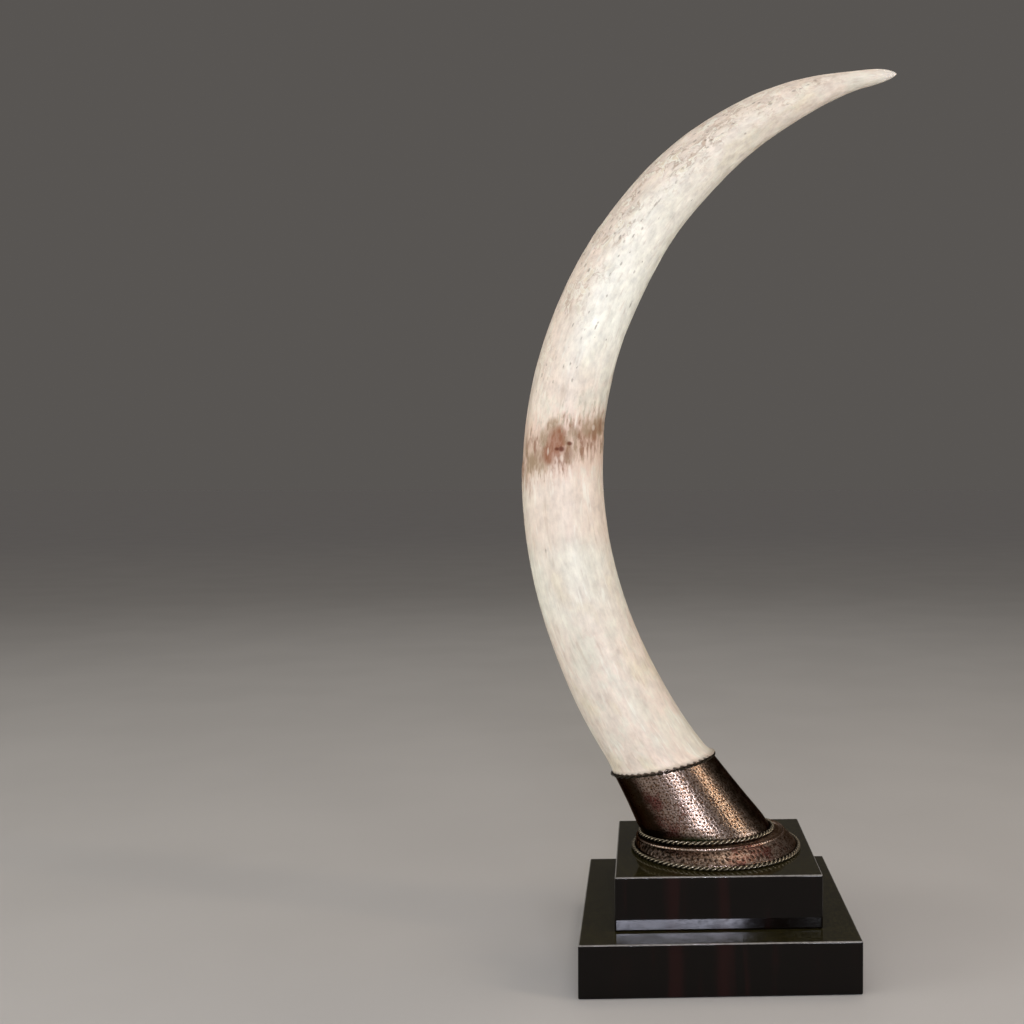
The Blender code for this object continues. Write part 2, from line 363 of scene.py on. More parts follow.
class Nodes:
    """Adds nodes to one tree. Arguments are sockets or plain values."""

    def __init__(self, tree):
        self.tree = tree

    def add(self, kind, inputs=None, **settings):
        node = self.tree.nodes.new(kind)
        for name, value in settings.items():
            setattr(node, name, value)
        for key, value in (inputs or {}).items():
            if isinstance(value, bpy.types.NodeSocket):
                self.tree.links.new(value, node.inputs[key])
            else:
                node.inputs[key].default_value = value
        return node

    def attribute(self, name, output="Vector"):
        node = self.add("ShaderNodeAttribute", attribute_type="GEOMETRY", attribute_name=name)
        return node.outputs[output]

    def scaled(self, vector, factors):
        node = self.add("ShaderNodeVectorMath", {0: vector, 1: factors}, operation="MULTIPLY")
        return node.outputs[0]

    def parts(self, vector):
        return self.add("ShaderNodeSeparateXYZ", {0: vector}).outputs

    def math(self, operation, first, second=0.0):
        inputs = {0: first, 1: second}
        return self.add("ShaderNodeMath", inputs, operation=operation).outputs[0]

    def plus(self, first, *others):
        for other in others:
            first = self.math("ADD", first, other)
        return first

    def times(self, first, *others):
        for other in others:
            first = self.math("MULTIPLY", first, other)
        return first

    def minus(self, first, second):
        return self.math("SUBTRACT", first, second)

    def larger(self, first, second):
        return self.math("MAXIMUM", first, second)

    def away(self, value, middle):
        """How far a value lies from a middle, on either side."""
        return self.math("ABSOLUTE", self.minus(value, middle))

    def swing(self, noise, factor):
        """A noise's swing about its mean of a half, times a factor."""
        return self.times(self.plus(noise, -0.5), factor)

    def lift(self, share, low):
        """A share from 0 to 1, squeezed into the range from low to 1."""
        return self.plus(self.times(share, 1.0 - low), low)

    def noise(self, vector, scale, detail=2.0, roughness=0.5, distortion=0.0):
        inputs = {"Vector": vector, "Scale": scale, "Detail": detail, "Roughness": roughness}
        inputs["Distortion"] = distortion
        return self.add("ShaderNodeTexNoise", inputs).outputs[0]

    def cells(self, vector, scale):
        inputs = {"Vector": vector, "Scale": scale}
        return self.add("ShaderNodeTexVoronoi", inputs, feature="F1").outputs["Distance"]

    def step(self, value, start, end, low=0.0, high=1.0):
        """Smooth change from low to high while value goes from start to end."""
        inputs = {"Value": value, "From Min": start, "From Max": end, "To Min": low, "To Max": high}
        node = self.add("ShaderNodeMapRange", inputs, interpolation_type="SMOOTHSTEP")
        return node.outputs[0]

    def blend(self, share, first, second):
        inputs = {0: share, 6: first, 7: second}
        return self.add("ShaderNodeMix", inputs, data_type="RGBA").outputs[2]

    def shade(self, colour, value):
        """Colour multiplied by a grey value."""
        inputs = {0: colour, "Scale": value}
        return self.add("ShaderNodeVectorMath", inputs, operation="SCALE").outputs[0]

    def bump(self, height, distance, strength):
        inputs = {"Height": height, "Distance": distance, "Strength": strength}
        return self.add("ShaderNodeBump", inputs).outputs[0]


def new_material(name, helper=Nodes):
    """A Principled material; returns it, its shader node and a helper for its tree."""
    material = bpy.data.materials.new(name)
    material.use_nodes = True
    shader = material.node_tree.nodes["Principled BSDF"]
    return material, shader, helper(material.node_tree)


def plug(shader, **sockets):
    """Links sockets, or sets plain values, on a shader's inputs named with underscores."""
    tree = shader.id_data
    for key, value in sockets.items():
        target = shader.inputs[key.replace("_", " ")]
        if isinstance(value, bpy.types.NodeSocket):
            tree.links.new(value, target)
        else:
            target.default_value = value


# Ivory

CREAM = (0.77, 0.685, 0.575, 1.0)
PEACH = (0.79, 0.665, 0.55, 1.0)
YELLOW = (0.75, 0.675, 0.47, 1.0)
GREEN_GREY = (0.64, 0.64, 0.53, 1.0)
CHALK = (0.92, 0.92, 0.81, 1.0)
PALE_GREEN = (0.78, 0.755, 0.640, 1.0)
GRIME = (0.43, 0.29, 0.185, 1.0)
PIT_BROWN = (0.23, 0.175, 0.115, 1.0)
STAIN_OLIVE = (0.33, 0.222, 0.125, 1.0)
STAIN_BROWN = (0.265, 0.125, 0.060, 1.0)
STAIN_RED = (0.28, 0.105, 0.048, 1.0)
STAIN_DARK = (0.125, 0.022, 0.003, 1.0)
STAIN_PINK = (0.76, 0.55, 0.43, 1.0)
SPECK_GREY = (0.45, 0.40, 0.28, 1.0)
TIP_GREY = (0.72, 0.69, 0.62, 1.0)
# Painted shade where the tusk meets the collar and its rope
COLLAR_SHADE = (0.20, 0.14, 0.09, 1.0)
RIM_SHADE_BLACK = (0.035, 0.021, 0.012, 1.0)

# Stretches of the tusk: where each starts, is full, begins to fade and ends
UPPER_PART = (0.40, 0.54, 0.98, 1.04)
COOL_PART = (0.180, 0.235, 0.270, 0.315)
WARM_PART = (0.290, 0.320, 0.370, 0.400)
CHALKY_PART = (0.46, 0.58, 0.62, 0.98)
PITTED_PART = (0.640, 0.690, 0.780, 0.840)

# The tusk's half width at the gum line, which turns a blot's width into an angle
BLOT_RADIUS = 0.045

# Blots of the gum line
BLOTS = (
    Spot(0.4195, -97, 0.0150, 0.0095),
    Spot(0.4050, -107, 0.0110, 0.0060),
    Spot(0.4290, -93, 0.0100, 0.0065),
)
DARK_SPOTS = (
    Spot(0.4120, -89, 0.0030, 0.0030),
    Spot(0.4193, -78, 0.0024, 0.0030),
    Spot(0.4118, -95, 0.0018, 0.0026),
)
OLIVE_BLOTS = (
    Spot(0.4240, -116, 0.0105, 0.0065),
    Spot(0.4370, -103, 0.0100, 0.0080),
    Spot(0.4475, -33, 0.0105, 0.0085),
    Spot(0.4395, -50, 0.0105, 0.0085),
    Spot(0.4350, -72, 0.0060, 0.0050),
    Spot(0.3985, -116, 0.0120, 0.0100),
    Spot(0.3960, -136, 0.0110, 0.0080),
    Spot(0.4040, -77, 0.0095, 0.0055),
)
LIGHT_SPOTS = (
    Spot(0.4421, -41, 0.0036, 0.0024),
    Spot(0.4010, -88, 0.0040, 0.0014),
    Spot(0.4085, -108, 0.0046, 0.0013),
)
BROWN_DASHES = (
    Spot(0.4059, -130, 0.0060, 0.0013),
    Spot(0.3992, -119, 0.0045, 0.0016),
    Spot(0.4281, -48, 0.0085, 0.0017),
    Spot(0.4240, -56, 0.0075, 0.0024),
    Spot(0.4294, -66, 0.0028, 0.0018),
    Spot(0.4080, -79, 0.0075, 0.0045),
    Spot(0.4360, -38, 0.0110, 0.0050),
    Spot(0.4470, -25, 0.0090, 0.0060),
)


class IvoryNodes(Nodes):
    """The ivory's layers: each method paints one kind of mark over self.colour."""

    def __init__(self, tree):
        super().__init__(tree)
        self.straight = self.attribute("straight")
        self.cosine, self.sine, self.along = self.parts(self.attribute("round"))
        self.upper = self.part_of(UPPER_PART)
        self.colour = CREAM

    def grain(self, squeeze, scale, detail=2.0, roughness=0.5, distortion=0.0):
        """Noise drawn out lengthwise: the smaller squeeze is, the longer its marks."""
        vector = self.scaled(self.straight, (1.0, 1.0, squeeze))
        return self.noise(vector, scale, detail, roughness, distortion)

    def part_of(self, edges):
        """1 along one stretch of the tusk, fading to 0 at both of its ends."""
        start, full, fading, end = edges
        return self.times(self.step(self.along, start, full), self.step(self.along, end, fading))

    def spotted(self, spots):
        """1 in the middle of each spot and 0 outside."""
        total = 0.0
        for spot in spots:
            angle = math.radians(spot.degrees)
            east = self.times(self.cosine, math.cos(angle))
            north = self.times(self.sine, math.sin(angle))
            turn = self.minus(1.0, self.plus(east, north))
            across = self.times(turn, 2.0 * (BLOT_RADIUS / spot.width) ** 2)
            offset = self.times(self.minus(self.along, spot.along), 1.0 / spot.length)
            distance = self.plus(self.times(offset, offset), across)
            total = self.larger(total, self.step(distance, 2.0, 0.1))
        return total

    def paint(self, colour, *shares):
        """Lays a colour over what is there, as far as the product of the shares."""
        self.colour = self.blend(self.times(*shares), self.colour, colour)

    def broad_tones(self):
        """Soft changes of tone, some all over and some on one part of the tusk."""
        patches = self.grain(0.5, 15.0, 3.0)
        self.clouds = self.noise(self.scaled(self.straight, (1.2, 1.0, 0.45)), 26.0, 3.0)
        self.freckles = self.grain(0.6, 85.0, 3.0, 0.6)
        self.paint(PEACH, self.step(patches, 0.42, 0.64))
        self.paint(GREEN_GREY, self.step(self.clouds, 0.52, 0.66), 0.55)
        self.paint(YELLOW, self.step(self.clouds, 0.46, 0.34), 0.45)
        self.paint(GREEN_GREY, self.step(self.freckles, 0.52, 0.66), 0.40)
        self.paint(PEACH, self.step(self.freckles, 0.47, 0.34), 0.55)
        cool = self.step(self.clouds, 0.36, 0.56, 0.30, 0.85)
        self.paint(PALE_GREEN, cool, self.part_of(COOL_PART))
        self.paint(PEACH, self.part_of(WARM_PART), 0.5)
        outer = self.step(self.plus(self.cosine, self.times(patches, 0.9)), 0.65, -0.35)
        self.paint(PEACH, outer, self.upper, 0.75)
        inner = self.step(self.plus(self.cosine, self.times(self.clouds, -0.6)), -1.05, -0.15)
        self.paint(CHALK, inner, self.part_of(CHALKY_PART), 0.9)

    def streaks(self):
        """Lengthwise streaks: broad soft ones, and short broken ones that come in groups."""
        soft_streaks = self.grain(0.09, 75.0)
        self.mottle = self.grain(0.55, 130.0, 3.0, 0.6)
        self.flecks = self.grain(0.26, 300.0, 3.0, 0.62)
        self.strokes = self.grain(0.13, 250.0)
        groups = self.grain(0.5, 30.0)
        tone = self.plus(
            self.step(soft_streaks, 0.35, 0.65, 0.965, 1.02),
            self.swing(self.mottle, self.plus(self.times(self.upper, 0.20), 0.40)),
            self.swing(self.flecks, -0.27),
            self.swing(self.freckles, 0.52),
            self.swing(self.clouds, 0.20),
        )
        self.colour = self.shade(self.colour, tone)
        light = self.step(self.strokes, 0.57, 0.67)
        self.paint(CHALK, light, self.step(groups, 0.42, 0.60), 0.42)
        dark = self.step(self.strokes, 0.43, 0.33)
        self.paint(GRIME, dark, self.step(groups, 0.60, 0.42), 0.22)

    def worm_marks(self):
        """Worm-like lines on the upper part, mostly on its outer side."""
        outer = self.plus(self.cosine, self.times(self.along, -1.6))
        zone = self.times(
            self.step(outer, -0.60, -1.6, 0.14, 1.0),
            self.step(self.along, 0.45, 0.72, 0.45, 1.0),
            self.step(self.along, 1.00, 0.80, 0.50, 1.0),
        )
        pitted = self.times(self.part_of(PITTED_PART), self.step(self.cosine, 0.55, 0.05, 0.0, 0.60))
        zone = self.times(self.larger(zone, pitted), self.upper)
        clusters = self.grain(0.6, 38.0)
        self.crowded = self.times(zone, self.step(clusters, 0.36, 0.58, 0.25, 1.0))
        worms = self.grain(0.48, 128.0, 3.0, 0.62, 0.6)
        lines = self.step(self.away(worms, 0.50), 0.050, 0.010)
        light_lines = self.step(self.away(worms, 0.58), 0.045, 0.010)
        self.worm_lines = self.times(lines, self.crowded)
        broken = self.step(self.grain(0.5, 140.0), 0.42, 0.60)
        self.paint(YELLOW, self.step(worms, 0.50, 0.66), self.crowded, 0.55)
        self.paint(GRIME, self.worm_lines, broken, 0.58)
        self.paint(CHALK, light_lines, self.crowded, 0.6)

    def pits_and_cracks(self):
        """Small pits among the worm marks, and the mesh's own scars."""
        pit_cells = self.cells(self.scaled(self.straight, (1.0, 1.0, 0.42)), 175.0)
        choice = self.step(self.grain(0.7, 110.0, 1.0), 0.48, 0.58)
        zone = self.times(self.plus(self.crowded, self.times(self.upper, 0.06)), choice)
        pits = self.times(self.step(pit_cells, 0.26, 0.12), zone)
        self.paint(PIT_BROWN, pits, 0.7)
        torn = self.plus(self.attribute("scar", "Fac"), self.swing(self.flecks, 1.6))
        scars = self.step(torn, 0.45, 0.85)
        self.paint(PIT_BROWN, scars, 0.56)
        self.hollows = self.larger(pits, scars)

    def gum_stain(self):
        """The old gum line: pink halo, ragged brown stain, blots, and grey specks above."""
        line = self.plus(self.times(self.cosine, GUM_SLANT), GUM_LINE - STAIN_DROP)
        from_line = self.minus(self.along, line)
        ragged = self.plus(from_line, self.swing(self.grain(0.20, 270.0, 3.0, 0.6), 0.075))
        halo_middle = self.plus(ragged, self.times(self.cosine, 0.012))
        self.paint(STAIN_PINK, self.step(self.away(halo_middle, 0.0), 0.050, 0.016), 0.72)
        tufts = self.step(self.grain(0.30, 240.0, 3.0, 0.6), 0.42, 0.58)
        blotches = self.step(self.grain(0.8, 70.0), 0.38, 0.58)
        cover = self.times(self.lift(tufts, 0.48), self.lift(blotches, 0.55))
        stain = self.times(self.step(self.away(ragged, 0.0), 0.036, 0.014), cover)
        tint = self.step(self.grain(0.7, 55.0, 1.0), 0.42, 0.58)
        self.paint(self.blend(tint, STAIN_OLIVE, STAIN_BROWN), stain, 0.92)
        frayed = self.lift(tufts, 0.65)
        blots = self.times(self.spotted(BLOTS), self.lift(frayed, 0.4))
        dark = self.spotted(DARK_SPOTS)
        self.paint(STAIN_OLIVE, self.spotted(OLIVE_BLOTS), frayed, 0.86)
        self.paint(STAIN_RED, blots, 0.92)
        self.paint(STAIN_BROWN, self.spotted(BROWN_DASHES), frayed, 0.75)
        self.paint(CREAM, self.spotted(LIGHT_SPOTS), 0.55)
        self.paint(STAIN_DARK, dark, 0.90)
        above = self.times(self.step(from_line, 0.090, 0.030), self.step(from_line, 0.000, 0.016))
        self.paint(SPECK_GREY, self.step(self.flecks, 0.50, 0.64), above, tufts, 0.55)
        self.crust = self.times(tufts, stain)
        self.dull_spots = self.larger(dark, blots)

    def tip_and_rim(self):
        """A greyer tip, and painted shade where the tusk meets the collar and between its rope's
        lobes.
        """
        self.paint(TIP_GREY, self.step(self.along, TUSK_LENGTH - 0.030, TUSK_LENGTH - 0.006), 0.8)
        # A dark band at the root: painted shade against the collar
        self.paint(COLLAR_SHADE, self.step(self.along, 0.006, -0.001), 0.6)
        # Dark scallops between the rim rope's lobes: painted shade in the gaps
        turn = self.math("ARCTAN2", self.sine, self.cosine)
        lobes = self.math("COSINE", self.times(turn, 2.0 * RIM_ROPE_TURNS))
        scallops = self.step(self.plus(self.along, self.times(lobes, 0.0009)), 0.0013, 0.0005)
        self.paint(RIM_SHADE_BLACK, scallops, self.step(self.cosine, 0.97, 0.80), 0.9)

    def relief(self):
        """Fine relief of the marks, as a normal."""
        height = self.plus(
            self.times(self.flecks, -0.7),
            self.times(self.strokes, 0.5),
            self.times(self.mottle, 0.5),
            self.times(self.worm_lines, -0.9),
            self.times(self.hollows, -0.6),
            self.times(self.crust, -0.5),
        )
        return self.bump(height, 0.0007, 0.8)

    def roughness(self):
        fine = self.step(self.flecks, 0.3, 0.7, 0.42, 0.52)
        return self.plus(fine, self.times(self.crowded, 0.08), self.times(self.dull_spots, 0.30))


def ivory_material():
    material, shader, nodes = new_material("ivory", IvoryNodes)
    nodes.broad_tones()
    nodes.streaks()
    nodes.worm_marks()
    nodes.pits_and_cracks()
    nodes.gum_stain()
    nodes.tip_and_rim()
    plug(shader, Base_Color=nodes.colour, Roughness=nodes.roughness(), Normal=nodes.relief())
    plug(shader, Subsurface_Weight=0.06, Subsurface_Scale=0.004, IOR=1.50)
    plug(shader, Subsurface_Radius=(1.0, 0.75, 0.5))
    return material


# Hammered copper and rope bronze

# Near-black for the collar's painted shade, and for the dark blotches on the ring's band
SHADE_AND_PATINA_BLACK = (0.015, 0.010, 0.005, 1.0)
PIT_PATINA = (0.026, 0.014, 0.009, 1.0)
PATINA_RED = (0.115, 0.020, 0.016, 1.0)
PATINA_BROWN = (0.150, 0.084, 0.048, 1.0)
WORN_COPPER = (0.455, 0.375, 0.330, 1.0)
VERDIGRIS = (0.012, 0.050, 0.014, 1.0)
EDGE_TINT = (0.35, 0.27, 0.20, 1.0)
ROPE_BLACK = (0.018, 0.014, 0.010, 1.0)
ROPE_DULL = (0.075, 0.060, 0.040, 1.0)
ROPE_CREST = (0.36, 0.315, 0.235, 1.0)


def copper_material():
    """Brown metal with dark patina in its dents, near-black painted shade on its sides, inside and
    recesses, and dark blotches on the ring's band.
    """
    material, shader, nodes = new_material("hammered_copper")
    place = nodes.attribute("place")
    names = ("dent", "painted_shade_and_blotches", "red", "green")
    dent, painted_shade_and_blotches, red, green = (nodes.attribute(name, "Fac") for name in names)
    patches = nodes.noise(place, 38.0, 3.0)
    grit = nodes.noise(place, 520.0, 3.0, 0.6)
    red_share = nodes.step(nodes.plus(red, nodes.swing(patches, 1.8)), 0.45, 0.95)
    metal = nodes.blend(red_share, PATINA_BROWN, PATINA_RED)
    bright = nodes.times(nodes.step(grit, 0.36, 0.62), nodes.step(red_share, 0.0, 1.0, 0.8, 0.3))
    metal = nodes.blend(bright, metal, WORN_COPPER)
    torn = nodes.plus(dent, nodes.swing(grit, -0.6))
    pit = nodes.step(torn, 0.40, 0.72)
    colour = nodes.blend(nodes.times(pit, 0.86), metal, PIT_PATINA)
    # Painted shade: the sides, inside and recesses turn near-black, together with the ring band's
    # blotches
    shade_and_blotches = nodes.plus(painted_shade_and_blotches, nodes.swing(nodes.noise(place, 90.0), 0.5))
    colour = nodes.blend(nodes.step(shade_and_blotches, 0.20, 0.85, 0.0, 0.95), colour, SHADE_AND_PATINA_BLACK)
    verdigris = nodes.times(green, nodes.step(grit, 0.35, 0.55, 0.5, 1.0))
    colour = nodes.blend(verdigris, colour, VERDIGRIS)
    gloss = nodes.plus(nodes.step(pit, 0.0, 1.0, 0.25, 0.45), nodes.times(grit, 0.06))
    plug(shader, Base_Color=colour, Metallic=1.0, Roughness=gloss, Specular_Tint=EDGE_TINT)
    plug(shader, Normal=nodes.bump(grit, 0.0004, 0.45))
    return material


def rope_material():
    """Nearly black bronze, rubbed bright on the strands' crests."""
    material, shader, nodes = new_material("dark_bronze")
    grit = nodes.noise(nodes.attribute("place"), 700.0, 2.0, 0.6)
    rubbed = nodes.plus(nodes.attribute("crest", "Fac"), nodes.swing(grit, 0.7))
    bright = nodes.attribute("bright", "Fac")
    share = nodes.times(nodes.step(rubbed, 0.60, 1.00), bright)
    colour = nodes.blend(share, nodes.blend(bright, ROPE_BLACK, ROPE_DULL), ROPE_CREST)
    gloss = nodes.step(share, 0.0, 1.0, 0.45, 0.28)
    plug(shader, Base_Color=colour, Metallic=1.0, Roughness=gloss)
    plug(shader, Normal=nodes.bump(grit, 0.0003, 0.5))
    return material


# Lacquer

LACQUER_BLACK = (0.0022, 0.0013, 0.0008, 1.0)
WOOD_RED = (0.011, 0.0024, 0.0020, 1.0)
# Olive tint of the level faces: partly a dusty film, partly painted reflection
OLIVE_DUST_AND_REFLECTION = (0.034, 0.029, 0.010, 1.0)
# Lighter grey of the top edges: partly wear, partly painted highlight
WORN_EDGE_HIGHLIGHT = (0.225, 0.213, 0.200, 1.0)

# Reddish wood that shows through the lacquer: place along x and half width
RED_STREAKS = ((-0.052, 0.013), (0.004, 0.014))


def lacquer_material():
    """Black lacquer over dark wood, with dusty level faces tinted olive, partly as painted
    reflection, lighter top edges, partly wear and partly painted highlight, and faint red grain on
    fronts.
    """
    material, shader, nodes = new_material("black_lacquer")
    place = nodes.add("ShaderNodeTexCoord").outputs["Object"]
    upward = nodes.parts(nodes.add("ShaderNodeNewGeometry").outputs["True Normal"])[2]
    level = nodes.step(upward, 0.85, 0.99)
    grain = nodes.noise(nodes.scaled(place, (1.0, 1.0, 0.08)), 55.0, 3.0, 0.6)
    wood = nodes.step(grain, 0.56, 0.74, 0.0, 0.6)
    for middle, half_width in RED_STREAKS:
        away = nodes.plus(nodes.away(nodes.parts(place)[0], middle), nodes.swing(grain, 0.03))
        wood = nodes.larger(wood, nodes.step(away, half_width, 0.0, 0.0, 0.9))
    colour = nodes.blend(wood, LACQUER_BLACK, WOOD_RED)
    specks = nodes.noise(place, 240.0, 4.0, 0.7)
    # Level faces are tinted olive: partly a dusty film, partly painted reflection
    dust_and_reflection = nodes.times(level, nodes.step(specks, 0.35, 0.75, 0.35, 1.0))
    colour = nodes.blend(dust_and_reflection, colour, OLIVE_DUST_AND_REFLECTION)
    # The top edges' bevels are painted lighter grey: partly wear, partly painted highlight
    edge = nodes.times(nodes.step(upward, 0.25, 0.45), nodes.step(upward, 0.98, 0.95))
    rubbed = nodes.times(edge, nodes.step(specks, 0.30, 0.60, 0.6, 1.0))
    colour = nodes.blend(rubbed, colour, WORN_EDGE_HIGHLIGHT)
    height = nodes.plus(nodes.noise(place, 26.0), nodes.times(specks, 0.02))
    gloss = nodes.plus(nodes.step(specks, 0.4, 0.8, 0.05, 0.11), nodes.times(dust_and_reflection, 0.05))
    plug(shader, Base_Color=colour, Roughness=gloss, IOR=1.28)
    plug(shader, Normal=nodes.bump(height, 0.0004, 0.25))
    return material


# Tusk

LIP_STRETCH = 0.009
GUM_BAND_START = 0.360
GUM_BAND_END = 0.480
TIP_STRETCH = 0.060
ROOT_SHARES = (1.0, 0.75, 0.5, 0.25, 0.1)

# Heights of the natural unevenness, and the depth of the scars
SWELL_HEIGHT = 0.00030
FLUTE_HEIGHT = 0.00010
FIBRE_HEIGHT = 0.00005
LUMP_HEIGHT = 0.00010
GUM_ROUGHNESS = 0.00016
LEDGE_WAVER = 0.0035
SCAR_DEPTH = 0.00022

PIT_SEED = 41
PIT_COUNT = 170
PIT_NARROWEST = 0.0011

# Cracks and pits that stand out
NAMED_SCARS = (
    Spot(0.7830, -94, 0.0045, 0.0020),
    Spot(0.8595, -136, 0.0050, 0.0018),
    Spot(0.9125, -98, 0.0030, 0.0018),
    Spot(0.9319, -77, 0.0030, 0.0022),
    Spot(0.7296, -87, 0.0120, 0.0012),
    Spot(0.7045, -90, 0.0035, 0.0016),
    Spot(0.6964, -82, 0.0035, 0.0016),
    Spot(0.7192, -68, 0.0040, 0.0014),
    Spot(0.6830, -86, 0.0032, 0.0015),
    Spot(0.6716, -102, 0.0034, 0.0016),
    Spot(0.6783, -129, 0.0045, 0.0017),
    Spot(0.6267, -110, 0.0036, 0.0016),
    Spot(0.6293, -88, 0.0030, 0.0014),
    Spot(0.6468, -55, 0.0030, 0.0013),
    Spot(0.6636, -50, 0.0028, 0.0013),
    Spot(0.2939, -120, 0.0050, 0.0014),
)


def tusk_stations():
    """Distances along the tusk, closer together at the lip, the gum line and the tip."""
    stations = [0.0]
    stations += spread(0.0, LIP_STRETCH, 12)
    stations += spread(LIP_STRETCH, GUM_BAND_START, 134)
    stations += spread(GUM_BAND_START, GUM_BAND_END, 72)
    stations += spread(GUM_BAND_END, TUSK_LENGTH - TIP_STRETCH, 206)
    to_tip = spread(0.0, 1.0, 30)[:-1]
    return stations + [TUSK_LENGTH - TIP_STRETCH * (1.0 - share) ** 2 for share in to_tip]


def random_scars():
    """Small pits, most of them on the outer side of the upper half."""
    random = np.random.default_rng(PIT_SEED)
    scars = []
    while len(scars) < PIT_COUNT:
        along = random.uniform(0.47, 0.98)
        angle = random.uniform(-math.pi, math.pi)
        wanted = 0.5 - 0.5 * math.cos(angle)
        clump = 0.5 + 0.5 * math.sin(along * 61.0 + 2.0 * math.sin(angle * 2.0 + along * 23.0))
        if random.uniform() > wanted * clump:
            continue
        length = random.uniform(0.0016, 0.0044)
        width = max(PIT_NARROWEST, length * random.uniform(0.25, 0.50))
        scars.append(Spot(along, math.degrees(angle), length, width))
    return scars


def scar_depths(along, angle, radius, scars):
    """How deep in a scar each point lies, from 0 to 1."""
    depth = np.zeros(along.shape)
    for scar in scars:
        rows = np.abs(along[:, 0] - scar.along) < 3.0 * scar.length
        turn = np.angle(np.exp(1j * (angle[rows] - math.radians(scar.degrees))))
        across = turn * radius[rows] / scar.width
        offset = (along[rows] - scar.along) / scar.length
        depth[rows] = np.maximum(depth[rows], np.exp(-(offset**2) - across**2))
    return depth


def drawn_out(straight, squeeze, wavelength, waves, seed):
    """A ripple over the tusk: the smaller squeeze is, the longer its waves lengthwise."""
    return ripple(straight * (1.0, 1.0, squeeze), wavelength, waves, seed)


def tusk_relief(along, angle, straight):
    """Height of the tusk's natural unevenness over its smooth form."""
    smooth = SWELL_HEIGHT * drawn_out(straight, 0.8, wavelength=0.110, waves=14, seed=5)
    smooth += FLUTE_HEIGHT * drawn_out(straight, 0.10, wavelength=0.016, waves=24, seed=6)
    smooth += FIBRE_HEIGHT * drawn_out(straight, 0.08, wavelength=0.006, waves=30, seed=7)
    smooth *= ramp(along, 0.0, 0.020)
    upper = 1.0 / (1.0 + np.exp(-(along - 0.50) / 0.03))
    lumps = upper * drawn_out(straight, 0.5, wavelength=0.014, waves=24, seed=8)
    gum = GUM_LINE + GUM_SLANT * np.cos(angle)
    near_gum = np.exp(-(((along - gum) / 0.028) ** 2))
    flakes = near_gum * drawn_out(straight, 0.12, wavelength=0.007, waves=24, seed=10)
    rough = LUMP_HEIGHT * lumps + GUM_ROUGHNESS * flakes
    ragged = drawn_out(straight, 0.3, wavelength=0.010, waves=20, seed=9)
    from_ledge = along - gum + LEDGE_BELOW_GUM + LEDGE_WAVER * ragged
    fade = np.exp(-((from_ledge / LEDGE_REACH) ** 2))
    ledge = -LEDGE_HALF_STEP * np.tanh(from_ledge / LEDGE_WIDTH) * fade
    tip_fade = np.maximum(0.15, ramp(along, TUSK_LENGTH, TUSK_LENGTH - 0.12))
    return (smooth + rough) * tip_fade + ledge


def root_sections():
    """The root inside the collar, from the block's top up to the rim."""
    inset = -SLEEVE_WALL - ROOT_CLEARANCE
    root = [grown(sleeve_section(share), inset) for share in ROOT_SHARES]
    return [laid_flat(root[0], BLOCKS_TOP + GAP)] + root + [grown(rim_section(0.0), inset)]


def tusk_faces(rings):
    """Quads between the rings, one face under the root and a fan of triangles at the tip."""
    faces = grid_faces(rings, TUSK_SIDES, joined_ends=False)
    faces.append(list(range(TUSK_SIDES))[::-1])
    last = (rings - 1) * TUSK_SIDES
    for side in range(TUSK_SIDES):
        faces.append([last + side, last + (side + 1) % TUSK_SIDES, rings * TUSK_SIDES])
    return faces


def pad_values(grid, root_rings, tip_value):
    """Point values for the root's rings, the free length and the tip."""
    rings = np.concatenate([np.repeat(grid[:1], root_rings, axis=0), grid])
    return np.concatenate([rings.reshape(-1, *grid.shape[2:]), np.array([tip_value])])


def make_tusk():
    """The whole tusk: the root inside the collar and the free length with its fine relief."""
    root = root_sections()
    stations = tusk_stations()
    free = [tusk_section(along) for along in stations]
    root_points = section_points(root, TUSK_SIDES)
    points = section_points(free, TUSK_SIDES)
    angle = ring_angles(len(free), TUSK_SIDES)
    along = np.repeat(np.array(stations)[:, None], TUSK_SIDES, axis=1)
    half = np.array([section.half_depth for section in free])
    radius = np.repeat(half[:, None], TUSK_SIDES, axis=1)
    circle = np.stack([np.cos(angle), np.sin(angle), along], axis=-1)
    straight = np.stack([radius * np.cos(angle), radius * np.sin(angle), along], axis=-1)
    scars = scar_depths(along, angle, radius, list(NAMED_SCARS) + random_scars())
    height = tusk_relief(along, angle, straight) - SCAR_DEPTH * scars
    points = raised(points, height)
    tip = np.array(tusk_centre(TUSK_LENGTH))
    all_points = np.concatenate([root_points.reshape(-1, 3), points.reshape(-1, 3), [tip]])
    values = {
        "straight": pad_values(straight, len(root), (0.0, 0.0, TUSK_LENGTH)),
        "round": pad_values(circle, len(root), (0.0, 0.0, TUSK_LENGTH)),
        "scar": pad_values(scars, len(root), 0.0),
    }
    return make_mesh("tusk_ivory", all_points, tusk_faces(len(root) + len(free)), values)


# Collar

HAMMER_DEPTH = 0.00024
SLEEVE_COLUMNS = 90
SLEEVE_ROWS = 20
SLEEVE_SEED = 17
BAND_DENT_DEPTH = 0.00030
BAND_COLUMNS = 92
BAND_ROWS = 2
BAND_SEED = 23
DENT_LEVEL = 0.4
NOTCH_DEPTH = 0.00035
BEAD_NOTCHES = 130
INSIDE_SHARES = (0.0, 0.25, 0.5, 0.75, 1.0)


def one_side(angle, degrees, sharpness):
    """1 on one side of a ring, at a given direction, falling to 0 opposite."""
    return (0.5 + 0.5 * np.cos(angle - math.radians(degrees))) ** sharpness


